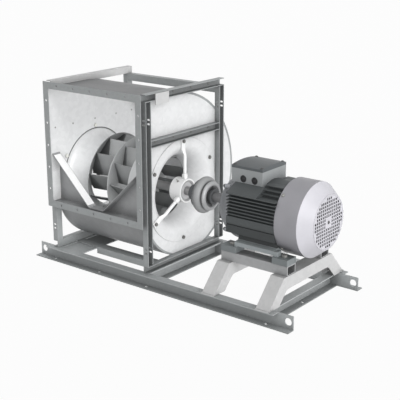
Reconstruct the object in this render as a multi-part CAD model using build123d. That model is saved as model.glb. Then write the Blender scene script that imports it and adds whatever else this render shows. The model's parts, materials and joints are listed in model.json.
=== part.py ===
from build123d import *
from math import atan2, cos, degrees, exp, radians, sin, sqrt, tan
import os

# Double inlet centrifugal fan on a base frame, driven by a motor through a tyre coupling.
# +X runs along the shaft from fan to motor, the air leaves towards -Y, +Z is up.
# The origin is on the floor, below the shaft, at the impeller's middle plane.
# All sizes are in millimetres.

X, Y, Z = range(3)
sides = {"free_side": -1, "drive_side": 1}
cut_over = 1.0           # how far a cut runs past the faces that it opens

# Shaft line
shaft_height = 370.0
fan_shaft_radius = 20.0
running_clearance = 0.05
fit_gap = 0.3            # between pieces of different bodies that face each other

# Base frame
rail_height = 60.0
rail_flange = 40.0
rail_sheet = 4.0
base_half_spacing = 249.0
base_free_end = -385.0
base_motor_end = 1010.0
lug_length = 70.0
lug_hole_radius = 15.5
lug_hole_from_end = 23.0
anchor_hole_radius = 7.0
anchor_hole_from_back = 18.0
fan_anchor_x = 277.0
tail_anchor_x = 894.0
top_hole_x = 570.0
fan_cross_x = 249.0
tail_cross_x = 871.0
deck_inner_edge_x = -125.0
deck_sheet = 4.0
inner_bar_offset = 126.0
inner_bar_width = 48.0
inner_bar_depth = 30.0

# Motor supports and rails
support_width = 63.0
fan_end_support_x = 590.0
tail_end_support_x = 854.0
support_top_half = 180.0
support_foot_half = 284.0
support_band = 53.0
support_sheet = 4.0
support_corner_radius = 40.0
support_edge_radius = 0.5
motor_rail_height = 40.0
motor_rail_width = 60.0
motor_rail_wall = 4.0

# Side frames of the fan
frame_flange = 27.0
frame_web = 32.0
frame_sheet = 3.0
frame_half_depth = 264.0
middle_beam_rise = 233.0  # from the shaft to the middle beam
slot_width = 8.0
slot_length = 15.0
slot_pair_gap = 18.0
low_slots_rise = 100.0   # above the base rail
high_slots_drop = 117.0  # below the frame's top
joint_plate_start = -205.0
joint_plate_length = 85.0
joint_plate_height = 46.0

# Casing
opening_margin = 5.0     # casing walls stand this far outside the outlet opening
side_sheet = 3.0
wrap_sheet = 2.0
scroll_base_radius = 251.0
scroll_growth = 0.1157   # growth of the scroll per radian
scroll_points = 16
scroll_rounds = 40       # steps that settle where the scroll meets the floor
outlet_face_y = -290.0
outlet_sheet = 3.0
outlet_opening = 507.0
outlet_strip = 30.0
outlet_hole_radius = 5.0
outlet_hole_pitch = 100.0
outlet_holes_per_side = 5
tongue_panel_y = -232.0
tongue_lip_depth = 44.0
tongue_rise = 210.0
tongue_flat_half = 42.0
tongue_knee_height = 3.0
tongue_sheet = 2.5

# Inlet cones
ring_outer_radius = 231.0
ring_sheet = 3.0
plate_hole_radius = 207.0
bell_mouth_radius = 201.0
throat_radius = 140.0
throat_x = 160.0
cone_sheet = 2.0
ring_bolt_radius = 219.0
ring_bolt_count = 6
ring_bolt_hole_radius = 5.0
ring_bolt_head_radius = 8.5
ring_bolt_head_height = 6.0

# Impeller
impeller_radius = 200.0
impeller_half_width = 116.0
shroud_sheet = 2.5
shroud_slope = 60.0
shroud_bend_radius = 22.0
shroud_eye_gap = 3.0
shroud_lip_x = 168.0
centre_disc_sheet = 5.0
blade_count = 12
blade_sheet = 3.0
blade_tip_radius = 187.0
blade_inner_radius = 128.0
blade_line_offset = 120.0  # from the shaft to the blade's plane at the centre disc
blade_eye_x = 150.0
blade_lean = 3.5         # lean of the plane towards the shroud
blade_turn = 4.3
blade_stagger = 10.0     # between the free side's blades and the drive side's
impeller_hub_radius = 44.0
impeller_hub_length = 90.0
key_width = 12.0
key_height = 8.0
key_seat_depth = 5.0
key_length = 60.0

# Spiders and fan bearings
spider_hub_radius = 54.0
spider_hub_inner_x = 232.0
spider_hub_outer_x = 292.0
spider_rod_radius = 7.5
spider_rod_x = 276.0
spider_collar_radius = 12.0
spider_collar_length = 16.0
spider_tab_width = 24.0
spider_tab_sheet = 5.0
spider_tab_start = 184.0
spider_tab_end_margin = 12.0
spider_taper_length = 22.5
spider_arm_angles = (90.0, 210.0, 330.0)
cushion_wall = 7.0
cushion_width = 26.0
fan_bearing_outer_radius = 40.0
fan_bearing_width = 18.0
fan_bearing_ring = 6.0
fan_bearing_inset = 6.0
hub_clear_radius = 30.0
shield_sheet = 1.0

# Coupling
fan_shaft_free_end = -318.0
fan_shaft_drive_end = 368.0
coupling_gap = 24.0
coupling_flange_radius = 62.0
coupling_flange_width = 12.0
coupling_boss_radius = 34.0
coupling_fan_boss_length = 34.0
coupling_motor_boss_length = 36.0
tyre_radius = 80.0
tyre_width = 56.0
tyre_wall = 8.0
tyre_bead = 7.0
tyre_bead_radius = 44.0

# Motor
motor_shaft_radius = 21.0
motor_shaft_tip_x = 409.5
motor_shaft_length = 110.0
shield_boss_radius = 62.0
drive_bearing_inset = 16.0
body_start_x = 610.0
body_end_x = 845.0
body_core_radius = 134.0
body_wall = 20.0
fin_reach = 151.0
fin_sheet = 4.0
fin_pitch = 14.0
flank_fin_count = 7
crown_fin_count = 3
crown_fin_radius = 149.0
rib_count = 2
rib_height = 33.0
rib_groove = 3.0
shoulder_overhang = 14.0
foot_to_shaft = 160.0
shoulder_to_foot_hole = 108.0
foot_length = 321.0
foot_hole_pitch_x = 254.0
foot_hole_pitch_y = 254.0
foot_hole_radius = 7.5
foot_width = 65.0
foot_thickness = 26.0
foot_pad_past_hole = 38.5
foot_web_past_pad = 2.0
foot_bar_drop = 31.0
foot_bar_height = 20.0
motor_journal_radius = 22.5
motor_bearing_outer_radius = 42.5
motor_bearing_width = 19.0
stator_bore_radius = 75.0
core_end_space = 42.5    # between the body's ends and the cores
rotor_shaft_step = 5.0
winding_length = 22.0
cowl_radius = 155.0
cowl_sheet = 2.5
cowl_side_length = 103.0
cowl_bevel_length = 52.0
grille_radius = 111.0
grille_hole = 10.0
grille_pitch = 14.0
grille_centre_holes = 3  # this many holes each way are left out around the middle one
cooling_fan_radius = 122.0
cooling_disc_radius = 73.0
cooling_fan_gap = 40.0
cooling_fan_width = 36.0
cooling_blade_count = 7
cooling_shaft_radius = 16.0
terminal_box_overhang = 20.0
terminal_box_length = 151.0
terminal_box_width = 170.0
terminal_box_top_rise = 175.0  # from the shaft to the box's top
terminal_box_bottom_rise = 100.0
terminal_wall = 5.0
terminal_lid_height = 20.0
terminal_lid_crown = 9.0
entry_radius = 15.0
entry_rise = 135.0
entry_from_start = 58.0
entry_spacing = 55.0
entry_plug_length = 9.0
plug_recess_radius = 10.5
foot_bolt_head_radius = 12.0
foot_bolt_head_height = 9.0
foot_bolt_radius = 7.0


# Values worked out from the driving dimensions
shaft_line = (0.0, shaft_height)
shaft_axis = Axis((0, 0, shaft_height), (1, 0, 0))
casing_half_width = outlet_opening / 2 + opening_margin
frame_back_x = casing_half_width + side_sheet
frame_tip_x = frame_back_x + frame_flange
rail_tip_y = base_half_spacing + rail_flange
front_y = outlet_face_y + outlet_sheet
scroll_end_turn = 270 + degrees(atan2(scroll_growth, 1))
foot_level = shaft_height - foot_to_shaft
support_top = foot_level - motor_rail_height
motor_shoulder_x = motor_shaft_tip_x + motor_shaft_length
foot_hole_x = (motor_shoulder_x + shoulder_to_foot_hole,
               motor_shoulder_x + shoulder_to_foot_hole + foot_hole_pitch_x)
foot_start_x = sum(foot_hole_x) / 2 - foot_length / 2
foot_end_x = foot_start_x + foot_length
cowl_bevel_x = body_end_x + cowl_side_length
cowl_tail_x = cowl_bevel_x + cowl_bevel_length
cooling_fan_x = body_end_x + cooling_fan_gap
drive_bearing_x = motor_shoulder_x + drive_bearing_inset
rotor_shaft_radius = motor_journal_radius + rotor_shaft_step
core_start_x = body_start_x + core_end_space
core_end_x = body_end_x - core_end_space
terminal_box_start_x = body_start_x - terminal_box_overhang
terminal_box_end_x = terminal_box_start_x + terminal_box_length
terminal_box_half = terminal_box_width / 2
terminal_box_top = shaft_height + terminal_box_top_rise
entry_height = shaft_height + entry_rise
entry_x = (terminal_box_start_x + entry_from_start,
           terminal_box_start_x + entry_from_start + entry_spacing)
eye_radius = throat_radius + cone_sheet + shroud_eye_gap
ring_face_x = frame_back_x + ring_sheet
body_bore_radius = body_core_radius - body_wall
motor_bore_radius = motor_journal_radius + running_clearance


def scroll_radius(turn):
    return scroll_base_radius * exp(scroll_growth * radians(turn))


def scroll_point(turn, extra):
    # (y, z) on the scroll; turn counts degrees from the outlet side, through the bottom and back
    angle = radians(turn - 180)
    radius = scroll_radius(turn) + extra
    return radius * cos(angle), shaft_height + radius * sin(angle)


scroll_top = scroll_point(scroll_end_turn, 0)[1]
outlet_top = scroll_top - opening_margin
outlet_bottom = outlet_top - outlet_opening
outlet_middle = (outlet_top + outlet_bottom) / 2
floor_top = outlet_bottom - opening_margin
floor_underside = floor_top - tongue_sheet
frame_top = outlet_top + outlet_strip
middle_beam_bottom = shaft_height + middle_beam_rise
slot_heights = (rail_height + low_slots_rise, frame_top - high_slots_drop)


def block(low, high):
    # Box between two corners
    size = [abs(high[axis] - low[axis]) for axis in (X, Y, Z)]
    middle = [(high[axis] + low[axis]) / 2 for axis in (X, Y, Z)]
    return Pos(*middle) * Box(*size)


def bar_along(axis, radius, start, end, centre):
    # Cylinder along one axis; centre holds its two other coordinates
    turn = {X: Rot(0, 90, 0), Y: Rot(90, 0, 0), Z: Rot(0, 0, 0)}[axis]
    place = list(centre)
    place.insert(axis, (start + end) / 2)
    return Pos(*place) * turn * Cylinder(radius, abs(end - start))


def hexagon_along(axis, radius, start, end, centre):
    # Hexagonal prism along one axis, for bolt heads and nuts
    turn = {X: Rot(0, 90, 0), Y: Rot(90, 0, 0), Z: Rot(0, 0, 0)}[axis]
    prism = extrude(RegularPolygon(radius, 6), amount=abs(end - start) / 2, both=True)
    place = list(centre)
    place.insert(axis, (start + end) / 2)
    return Pos(*place) * turn * prism


def tube_along(axis, outer, inner, start, end, centre):
    return (bar_along(axis, outer, start, end, centre)
            - bar_along(axis, inner, start - cut_over, end + cut_over, centre))


def channel(low, high, along, back_axis, back_side, sheet):
    # Folded channel inside the box from low to high, with its web on one face
    hollow_low = list(low)
    hollow_high = list(high)
    for axis in (X, Y, Z):
        if axis == along:
            hollow_low[axis] -= cut_over
            hollow_high[axis] += cut_over
        elif axis != back_axis:
            hollow_low[axis] += sheet
            hollow_high[axis] -= sheet
        elif back_side < 0:
            hollow_low[axis] += sheet
            hollow_high[axis] += cut_over
        else:
            hollow_low[axis] -= cut_over
            hollow_high[axis] -= sheet
    return block(low, high) - block(hollow_low, hollow_high)


def turned(profile):
    # Revolves a profile of (x, radius) about the shaft
    plane = Plane((0, 0, shaft_height), x_dir=(1, 0, 0), z_dir=(0, -1, 0))
    return revolve(plane * profile, shaft_axis, 360)


def polygon(*points):
    return make_face(Polyline(*points, close=True))


def slab(face, start, end):
    # Extrudes a face of (y, z) along X
    return extrude(Plane.YZ.offset(start) * face, amount=end - start, dir=(1, 0, 0))


def on_side(shape, side):
    # Pieces are drawn on the drive side; the free side mirrors them
    return shape if side > 0 else mirror(shape, about=Plane.YZ)


def on_bank(shape, bank):
    # Pieces are drawn at +Y; the front ones mirror them
    return shape if bank > 0 else mirror(shape, about=Plane.XZ)


def around_shaft(shape, angle):
    return shape.rotate(shaft_axis, angle)


def save(node, *solids):
    shape = solids[0] if len(solids) == 1 else Compound(children=list(solids))
    export_step(shape, f"parts/{node}.step")


# Base frame

def base_rail(bank):
    rail = channel((base_free_end, base_half_spacing, 0),
                   (base_motor_end, rail_tip_y, rail_height), X, Y, -1, rail_sheet)
    lug_spans = ((base_free_end - cut_over, base_free_end + lug_length),
                 (base_motor_end - lug_length, base_motor_end + cut_over))
    for start, end in lug_spans:
        rail -= block((start, base_half_spacing + rail_sheet, rail_sheet),
                      (end, rail_tip_y + cut_over, rail_height + cut_over))
    for x in (base_free_end + lug_hole_from_end, base_motor_end - lug_hole_from_end):
        rail -= bar_along(Y, lug_hole_radius, base_half_spacing - cut_over,
                          base_half_spacing + rail_sheet + cut_over,
                          (x, (rail_height + rail_sheet) / 2))
    hole_y = base_half_spacing + anchor_hole_from_back
    for x in (-fan_anchor_x, 0, fan_anchor_x, tail_anchor_x):
        rail -= bar_along(Z, anchor_hole_radius, -cut_over, rail_sheet + cut_over, (x, hole_y))
    rail -= bar_along(Z, anchor_hole_radius, rail_height - rail_sheet - cut_over,
                      rail_height + cut_over, (top_hole_x, hole_y))
    return on_bank(rail, bank)


def cross_member(back_x, way):
    near, far = sorted((back_x, back_x + way * rail_flange))
    return channel((near, -base_half_spacing, 0), (far, base_half_spacing, rail_height),
                   Y, X, -way, rail_sheet)


def tail_cross_member():
    member = cross_member(tail_cross_x, 1)
    return member - bar_along(Z, anchor_hole_radius, -cut_over, rail_sheet + cut_over,
                              (tail_anchor_x, 0))


def deck_plate():
    deck_top = rail_height - rail_sheet
    return block((-fan_cross_x, -base_half_spacing, deck_top - deck_sheet),
                 (deck_inner_edge_x, base_half_spacing, deck_top))


def inner_bar(bank):
    inner = inner_bar_offset - inner_bar_width / 2
    outer = inner_bar_offset + inner_bar_width / 2
    bar = channel((-fan_cross_x, inner, rail_height - inner_bar_depth),
                  (fan_cross_x, outer, rail_height), X, Z, 1, rail_sheet)
    bar -= block((-fan_cross_x - cut_over, inner - cut_over, 0),
                 (deck_inner_edge_x, outer + cut_over, rail_height - rail_sheet))
    return on_bank(bar, bank)


# Motor supports and rails

def support_outline(inset):
    # Trapezium of the support, drawn in from its outer faces by inset
    slope = atan2(support_top - rail_height, support_foot_half - support_top_half)
    foot = support_foot_half - inset / sin(slope)
    top = support_top - inset
    half = foot - (top - rail_height) / tan(slope)
    return foot, half, top


def motor_support(start):
    end = start + support_width
    foot, half, top = support_outline(0)
    arch = slab(polygon((-foot, rail_height), (-half, top), (half, top), (foot, rail_height)), start, end)
    foot, half, top = support_outline(support_band)
    below = rail_height - cut_over
    way = FilletPolyline((-foot, below), (-foot, rail_height), (-half, top), (half, top),
                         (foot, rail_height), (foot, below),
                         radius=(support_edge_radius, support_corner_radius,
                                 support_corner_radius, support_edge_radius))
    arch -= slab(make_face(way + Line((foot, below), (-foot, below))), start - cut_over, end + cut_over)
    foot, half, top = support_outline(support_sheet)
    arch -= slab(polygon((-foot, below), (-foot, rail_height), (-half, top), (half, top),
                         (foot, rail_height), (foot, below)),
                 start + support_sheet, end - support_sheet)
    for bank in (-1, 1):
        pad = block((start, base_half_spacing - rail_sheet, rail_height),
                    (end, rail_tip_y, rail_height + support_sheet))
        arch += on_bank(pad, bank)
    return arch


def motor_rail(bank):
    middle = foot_hole_pitch_y / 2
    low = (foot_start_x, middle - motor_rail_width / 2, support_top)
    high = (foot_end_x, middle + motor_rail_width / 2, foot_level)
    rail = block(low, high) - block(
        (low[X] - cut_over, low[Y] + motor_rail_wall, low[Z] + motor_rail_wall),
        (high[X] + cut_over, high[Y] - motor_rail_wall, high[Z] - motor_rail_wall))
    for x in foot_hole_x:
        rail -= bar_along(Z, foot_hole_radius, foot_level - motor_rail_wall - cut_over,
                          foot_level + cut_over, (x, middle))
    return on_bank(rail, bank)


# Side frames of the fan

def post_slots():
    # Paired fixing slots in the post's flanges
    middle = (frame_back_x + frame_sheet + frame_tip_x) / 2
    cuts = []
    for height in slot_heights:
        for offset in (-slot_pair_gap / 2, slot_pair_gap / 2):
            face = Plane((middle, 0, height + offset), x_dir=(1, 0, 0), z_dir=(0, 1, 0)) * SlotOverall(
                slot_length, slot_width)
            cuts.append(extrude(face, amount=frame_half_depth + cut_over, dir=(0, 1, 0)))
    return cuts


def frame_post(side, bank):
    post = channel((frame_back_x, frame_half_depth - frame_web, rail_height + frame_web),
                   (frame_tip_x, frame_half_depth, frame_top - frame_web), Z, X, -1, frame_sheet)
    for cut in post_slots():
        post -= cut
    return on_side(on_bank(post, bank), side)


def frame_beam(side, bottom, half_length):
    beam = channel((frame_back_x, -half_length, bottom),
                   (frame_tip_x, half_length, bottom + frame_web), Y, X, -1, frame_sheet)
    return on_side(beam, side)


def rear_tie():
    top = frame_top - frame_web
    return channel((-frame_back_x, frame_half_depth - frame_web, top - frame_web),
                   (frame_back_x, frame_half_depth, top), X, Z, 1, frame_sheet)


def joint_plate():
    top = frame_top - frame_sheet
    return block((frame_tip_x, joint_plate_start, top - joint_plate_height),
                 (frame_tip_x + frame_sheet, joint_plate_start + joint_plate_length, top))


# Casing

def scroll_start_turn(extra):
    # Turn at which the scroll meets the underside of the casing floor
    drop = shaft_height - floor_underside
    turn = 0.0
    for _ in range(scroll_rounds):
        turn = degrees(atan2(drop, sqrt((scroll_radius(turn) + extra) ** 2 - drop ** 2)))
    return turn


def scroll_face(extra, front):
    # Side view of the casing, drawn outwards by extra
    start = scroll_start_turn(extra)
    step = (scroll_end_turn - start) / scroll_points
    turns = [start + step * index for index in range(scroll_points + 1)]
    curve = Spline(*[scroll_point(turn, extra) for turn in turns])
    first = scroll_point(start, extra)
    last = scroll_point(scroll_end_turn, extra)
    rim = Polyline(last, (front, last[1]), (front, first[1]), first)
    return make_face(curve + rim)


def scroll_wrap():
    outer = slab(scroll_face(wrap_sheet, front_y), -casing_half_width, casing_half_width)
    inner = slab(scroll_face(0, front_y - cut_over), -casing_half_width - cut_over,
                 casing_half_width + cut_over)
    return outer - inner


def side_plate(side):
    plate = slab(scroll_face(wrap_sheet, front_y), casing_half_width, frame_back_x)
    plate -= bar_along(X, plate_hole_radius, casing_half_width - cut_over,
                       frame_back_x + cut_over, shaft_line)
    plate -= ring_bolt_holes(ring_bolt_hole_radius, casing_half_width - cut_over, frame_back_x + cut_over)
    return on_side(plate, side)


def cutoff_tongue():
    # V-shaped lip with its panel and the casing floor under it
    knee = outlet_bottom + tongue_knee_height
    top = knee + tongue_rise
    slope = atan2(tongue_rise, casing_half_width - tongue_flat_half)
    drop = tongue_sheet / cos(slope)
    lip = polygon((-casing_half_width, top), (-tongue_flat_half, knee), (tongue_flat_half, knee),
                  (casing_half_width, top), (casing_half_width, top - drop),
                  (tongue_flat_half, knee - drop), (-tongue_flat_half, knee - drop),
                  (-casing_half_width, top - drop))
    panel = polygon((-casing_half_width, top), (-tongue_flat_half, knee), (tongue_flat_half, knee),
                    (casing_half_width, top), (casing_half_width, floor_underside),
                    (-casing_half_width, floor_underside))
    tongue = extrude(Plane.XZ.offset(-tongue_panel_y) * lip, amount=tongue_lip_depth, dir=(0, -1, 0))
    tongue += extrude(Plane.XZ.offset(-tongue_panel_y) * panel, amount=tongue_sheet, dir=(0, -1, 0))
    tongue += block((-casing_half_width, front_y, floor_underside),
                    (casing_half_width, tongue_panel_y, floor_top))
    return tongue


def outlet_flange():
    middle = outlet_middle
    half = outlet_opening / 2
    outer = half + outlet_strip
    flange = block((-outer, outlet_face_y, middle - outer), (outer, front_y, middle + outer))
    flange -= block((-half, outlet_face_y - cut_over, middle - half),
                    (half, front_y + cut_over, middle + half))
    first = -outlet_hole_pitch * (outlet_holes_per_side - 1) / 2
    line = half + outlet_strip / 2
    for index in range(outlet_holes_per_side):
        along = first + index * outlet_hole_pitch
        for way in (-1, 1):
            for x, z in ((along, middle + way * line), (way * line, middle + along)):
                flange -= bar_along(Y, outlet_hole_radius, outlet_face_y - cut_over,
                                    front_y + cut_over, (x, z))
    return flange


# Inlet cones

def ring_bolt_places():
    # (angle, y, z) of the ring's bolts
    places = []
    for index in range(ring_bolt_count):
        angle = 90 + index * 360 / ring_bolt_count
        places.append((angle % 360, ring_bolt_radius * cos(radians(angle)),
                       shaft_height + ring_bolt_radius * sin(radians(angle))))
    return places


def ring_bolt_holes(radius, start, end):
    cuts = [bar_along(X, radius, start, end, (y, z)) for _, y, z in ring_bolt_places()]
    return Compound(children=cuts)


def inlet_cone(side):
    depth = ring_face_x - throat_x
    rise = bell_mouth_radius - throat_radius
    centre = (throat_x, bell_mouth_radius)
    flow_side = EllipticalCenterArc(centre, depth, rise, start_angle=270, arc_size=90)
    back_side = EllipticalCenterArc(centre, depth - cone_sheet, rise - cone_sheet,
                                    start_angle=270, arc_size=90)
    ends = (Line(flow_side @ 0, back_side @ 0), Line(flow_side @ 1, back_side @ 1))
    bell = make_face(flow_side + back_side + ends[0] + ends[1])
    ring = polygon((frame_back_x, bell_mouth_radius), (ring_face_x, bell_mouth_radius),
                   (ring_face_x, ring_outer_radius), (frame_back_x, ring_outer_radius))
    cone = turned(bell) + turned(ring)
    cone -= ring_bolt_holes(ring_bolt_hole_radius, frame_back_x - cut_over, ring_face_x + cut_over)
    return on_side(cone, side)


def ring_fasteners(side):
    # Bolts through ring and side plate; those of the spider also hold its flattened ends
    solids = []
    shank = ring_bolt_hole_radius - fit_gap
    nut_start = casing_half_width - ring_bolt_head_height
    for angle, y, z in ring_bolt_places():
        seat = ring_face_x
        if round(angle) in [round(arm) for arm in spider_arm_angles]:
            seat += spider_tab_sheet
        bolt = hexagon_along(X, ring_bolt_head_radius, seat, seat + ring_bolt_head_height, (y, z))
        bolt += bar_along(X, shank, nut_start, seat, (y, z))
        nut = hexagon_along(X, ring_bolt_head_radius, nut_start, casing_half_width, (y, z))
        nut -= bar_along(X, shank, nut_start - cut_over, casing_half_width + cut_over, (y, z))
        solids += [on_side(bolt, side), on_side(nut, side)]
    return solids


# Impeller

def shroud_path(extra, start_x):
    # Flow side of the shroud, drawn outwards by extra
    slope = radians(shroud_slope)
    tip_x = impeller_half_width + extra / sin(slope)
    corner_x = tip_x + (impeller_radius - eye_radius - extra) / tan(slope)
    return FilletPolyline((start_x, eye_radius + extra), (corner_x, eye_radius + extra),
                          (tip_x, impeller_radius), radius=shroud_bend_radius - extra)


def impeller_shroud(side):
    flow_side = shroud_path(0, shroud_lip_x)
    back_side = shroud_path(shroud_sheet, shroud_lip_x)
    face = make_face(flow_side + back_side + Line(flow_side @ 0, back_side @ 0)
                     + Line(flow_side @ 1, back_side @ 1))
    return on_side(turned(face), side)


def impeller_blades(side):
    # Flat, backward inclined blades between the centre disc and the shroud; their plane leans a
    # little along the shaft, and they reach inwards past the eye
    disc_face = centre_disc_sheet / 2
    hub_side = impeller_hub_radius + cut_over
    flow_side = shroud_path(0, shroud_lip_x)
    face = make_face(flow_side + Polyline(flow_side @ 1, (disc_face, impeller_radius), (disc_face, hub_side),
                                          (shroud_lip_x, hub_side), flow_side @ 0))
    passage = turned(face)
    inner = sqrt(blade_inner_radius ** 2 - blade_line_offset ** 2)
    tip = sqrt(blade_tip_radius ** 2 - blade_line_offset ** 2)
    plate = block((-cut_over, inner, -blade_sheet / 2), (blade_eye_x, tip, blade_sheet / 2))
    blade = Pos(0, 0, shaft_height + blade_line_offset) * Rot(0, -blade_lean, 0) * plate & passage
    first = blade_turn if side < 0 else blade_turn + blade_stagger
    return [on_side(around_shaft(blade, first + index * 360 / blade_count), side)
            for index in range(blade_count)]


def key_block(start, extra):
    # Key of the fan shaft, upright in its seat; extra lengthens it at both ends
    bottom = shaft_height + fan_shaft_radius - key_seat_depth
    return block((start - extra, -key_width / 2, bottom),
                 (start + key_length + extra, key_width / 2, bottom + key_height))


impeller_key_start = -key_length / 2
coupling_face_x = fan_shaft_drive_end
coupling_hub_start = coupling_face_x - coupling_flange_width - coupling_fan_boss_length


def coupling_key():
    bottom = shaft_height + fan_shaft_radius - key_seat_depth
    return block((coupling_hub_start, -key_width / 2, bottom),
                 (coupling_face_x, key_width / 2, bottom + key_height))


def fan_shaft():
    shaft = bar_along(X, fan_shaft_radius, fan_shaft_free_end, fan_shaft_drive_end, shaft_line)
    return shaft - key_block(impeller_key_start, 0) - coupling_key()


def centre_disc():
    half = impeller_hub_length / 2
    disc = bar_along(X, impeller_radius, -centre_disc_sheet / 2, centre_disc_sheet / 2, shaft_line)
    disc += bar_along(X, impeller_hub_radius, -half, half, shaft_line)
    disc -= bar_along(X, fan_shaft_radius, -half - cut_over, half + cut_over, shaft_line)
    return disc - key_block(impeller_key_start, half)


# Spiders and fan bearings

def spider_arm():
    # Upright arm: rod with a collar at the hub, flattened and bent to the ring at its end
    tab_end = ring_bolt_radius + spider_tab_end_margin
    tab_x = ring_face_x + spider_tab_sheet / 2
    rod_end = spider_tab_start - spider_taper_length
    base = spider_hub_radius - spider_rod_radius
    centre = (spider_rod_x, 0)
    arm = bar_along(Z, spider_rod_radius, shaft_height + base, shaft_height + rod_end, centre)
    arm += hexagon_along(Z, spider_collar_radius, shaft_height + base,
                         shaft_height + spider_hub_radius + spider_collar_length, centre)
    round_end = Plane((spider_rod_x, 0, shaft_height + rod_end)) * Circle(spider_rod_radius)
    flat_end = Plane((tab_x, 0, shaft_height + spider_tab_start)) * Rectangle(
        spider_tab_sheet, spider_tab_width)
    arm += loft([round_end, flat_end])
    arm += block((ring_face_x, -spider_tab_width / 2, shaft_height + spider_tab_start),
                 (ring_face_x + spider_tab_sheet, spider_tab_width / 2, shaft_height + tab_end))
    arm -= bar_along(X, ring_bolt_hole_radius, ring_face_x - cut_over,
                     ring_face_x + spider_tab_sheet + cut_over, (0, shaft_height + ring_bolt_radius))
    return arm


cushion_radius = fan_bearing_outer_radius + cushion_wall
bearing_end_x = spider_hub_outer_x - fan_bearing_inset
bearing_start_x = bearing_end_x - fan_bearing_width
cushion_start_x = (bearing_start_x + bearing_end_x - cushion_width) / 2


def bearing_spider(side):
    hub = bar_along(X, spider_hub_radius, spider_hub_inner_x, spider_hub_outer_x, shaft_line)
    for angle in spider_arm_angles:
        hub += around_shaft(spider_arm(), angle - 90)
    hub -= bar_along(X, cushion_radius, cushion_start_x, spider_hub_outer_x + cut_over, shaft_line)
    hub -= bar_along(X, hub_clear_radius, spider_hub_inner_x - cut_over, spider_hub_outer_x, shaft_line)
    return on_side(hub, side)


def bearing_cushion(side):
    ring = tube_along(X, cushion_radius, fan_bearing_outer_radius, cushion_start_x,
                      cushion_start_x + cushion_width, shaft_line)
    return on_side(ring, side)


def fan_bearing_outer_ring(side):
    # Outer ring with the two closing shields of the ball row
    inner = fan_shaft_radius + fan_bearing_ring
    race = fan_bearing_outer_radius - fan_bearing_ring
    ring = tube_along(X, fan_bearing_outer_radius, race, bearing_start_x, bearing_end_x, shaft_line)
    for start in (bearing_start_x, bearing_end_x - shield_sheet):
        ring += tube_along(X, race + cut_over, inner + fit_gap, start, start + shield_sheet, shaft_line)
    return on_side(ring, side)


def fan_bearing_inner_ring(side):
    ring = tube_along(X, fan_shaft_radius + fan_bearing_ring, fan_shaft_radius,
                      bearing_start_x, bearing_end_x, shaft_line)
    return on_side(ring, side)


# Coupling

motor_flange_x = coupling_face_x + coupling_gap


def coupling_hub_fan_side():
    hub = bar_along(X, coupling_boss_radius, coupling_hub_start, coupling_face_x, shaft_line)
    hub += bar_along(X, coupling_flange_radius, coupling_face_x - coupling_flange_width,
                     coupling_face_x, shaft_line)
    hub -= bar_along(X, fan_shaft_radius, coupling_hub_start - cut_over,
                     coupling_face_x + cut_over, shaft_line)
    return hub - coupling_key()


def coupling_hub_motor_side():
    flange_end = motor_flange_x + coupling_flange_width
    boss_end = flange_end + coupling_motor_boss_length
    hub = bar_along(X, coupling_flange_radius - fit_gap, motor_flange_x, flange_end, shaft_line)
    hub += bar_along(X, coupling_boss_radius, motor_flange_x, boss_end, shaft_line)
    hub -= bar_along(X, motor_shaft_radius, motor_flange_x - cut_over, boss_end + cut_over, shaft_line)
    return hub


def coupling_tyre():
    # Rubber arch over the rims of both flanges, with a bead against each face
    motor_face_x = motor_flange_x - fit_gap
    middle = (coupling_face_x + motor_flange_x) / 2
    rise = tyre_radius - coupling_flange_radius
    inner_half = coupling_gap / 2 - tyre_bead - fit_gap
    crown = EllipticalCenterArc((middle, coupling_flange_radius), tyre_width / 2, rise,
                                start_angle=0, arc_size=180)
    hollow = EllipticalCenterArc((middle, coupling_flange_radius), inner_half, rise - tyre_wall,
                                 start_angle=0, arc_size=180)
    fan_side = Polyline(crown @ 1, (coupling_face_x, coupling_flange_radius),
                        (coupling_face_x, tyre_bead_radius),
                        (middle - inner_half, tyre_bead_radius), hollow @ 1)
    motor_side = Polyline(crown @ 0, (motor_face_x, coupling_flange_radius),
                          (motor_face_x, tyre_bead_radius),
                          (middle + inner_half, tyre_bead_radius), hollow @ 0)
    return turned(make_face(crown + fan_side + hollow + motor_side))


# Motor

def fin_block(level, thickness, start, reach):
    return block((start, body_core_radius / 2, level - thickness / 2),
                 (body_end_x, reach, level + thickness / 2))


def side_fins():
    # One flank: level fins, shorter ones on the crown behind the terminal box, smooth ribs below
    fins = []
    for index in range(flank_fin_count):
        fins.append(fin_block(shaft_height + index * fin_pitch, fin_sheet, body_start_x, fin_reach))
    for index in range(flank_fin_count, flank_fin_count + crown_fin_count):
        rise = index * fin_pitch
        reach = sqrt(crown_fin_radius ** 2 - rise ** 2)
        fins.append(block((terminal_box_end_x + shoulder_overhang, 0, shaft_height + rise - fin_sheet / 2),
                          (body_end_x, reach, shaft_height + rise + fin_sheet / 2)))
    for index in range(rib_count):
        level = shaft_height - fin_pitch - index * (rib_height + rib_groove) - rib_height / 2 + rib_groove
        fins.append(fin_block(level, rib_height, body_start_x, fin_reach - rib_groove))
    return fins


def terminal_shoulder():
    # Smooth slope between the terminal box and the topmost flank fin
    low = shaft_height + (flank_fin_count - 1) * fin_pitch + fin_sheet
    beside_box = terminal_box_half + fit_gap
    high = shaft_height + sqrt(body_core_radius ** 2 - terminal_box_half ** 2) + fin_pitch
    return slab(polygon((beside_box, low - fin_sheet), (fin_reach, low - fin_sheet), (fin_reach, low),
                        (beside_box, high)), body_start_x, terminal_box_end_x + shoulder_overhang)


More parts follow.
